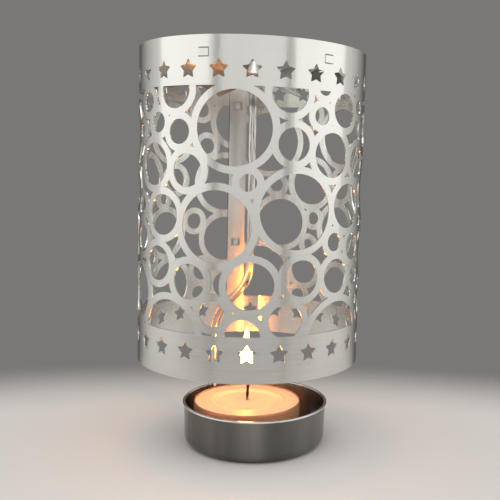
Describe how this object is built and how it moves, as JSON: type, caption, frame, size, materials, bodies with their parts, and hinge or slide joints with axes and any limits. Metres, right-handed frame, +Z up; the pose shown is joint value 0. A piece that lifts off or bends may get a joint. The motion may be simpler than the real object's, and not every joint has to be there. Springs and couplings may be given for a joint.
{
  "type": "rotating candle holder",
  "caption": "Rotating tealight holder: a pierced steel lantern hangs from a bladed rotor that balances on a needle-pointed rod rising from a round cup.",
  "frame": {"origin": "on the table under the axis that the lantern turns about", "axes": "+Z up along the turning axis, -Y towards the front of the picture, +X to its right"},
  "size_m": [0.0766, 0.0766, 0.1368],
  "materials": {
    "steel_cup": "satin",
    "steel_rod": "drawn",
    "steel_sheet": "satin",
    "steel_rotor": "satin",
    "clear_cup": "clear",
    "wax": "waxy",
    "wick_cord": "charred",
    "tinned_foot": "tinned"
  },
  "bodies": {
    "base": {"base_cup": "steel_cup", "stem": "steel_rod"},
    "spinner": {"lantern": "steel_sheet", "rotor": "steel_rotor"},
    "tealight": {"tealight_cup": "clear_cup", "tealight_wax": "wax", "wick": "wick_cord", "wick_foot": "tinned_foot"}
  },
  "joints": [
    {"name": "lantern_spin", "type": "hinge", "parent": "base", "child": "spinner", "pos_m": [0, 0, 0.1335], "axis": [0, 0, 1], "continuous": true},
    {"name": "tealight_lift", "type": "slide", "parent": "base", "child": "tealight", "axis": [0, 0, 1], "range_m": [0, 0.016]}
  ]
}
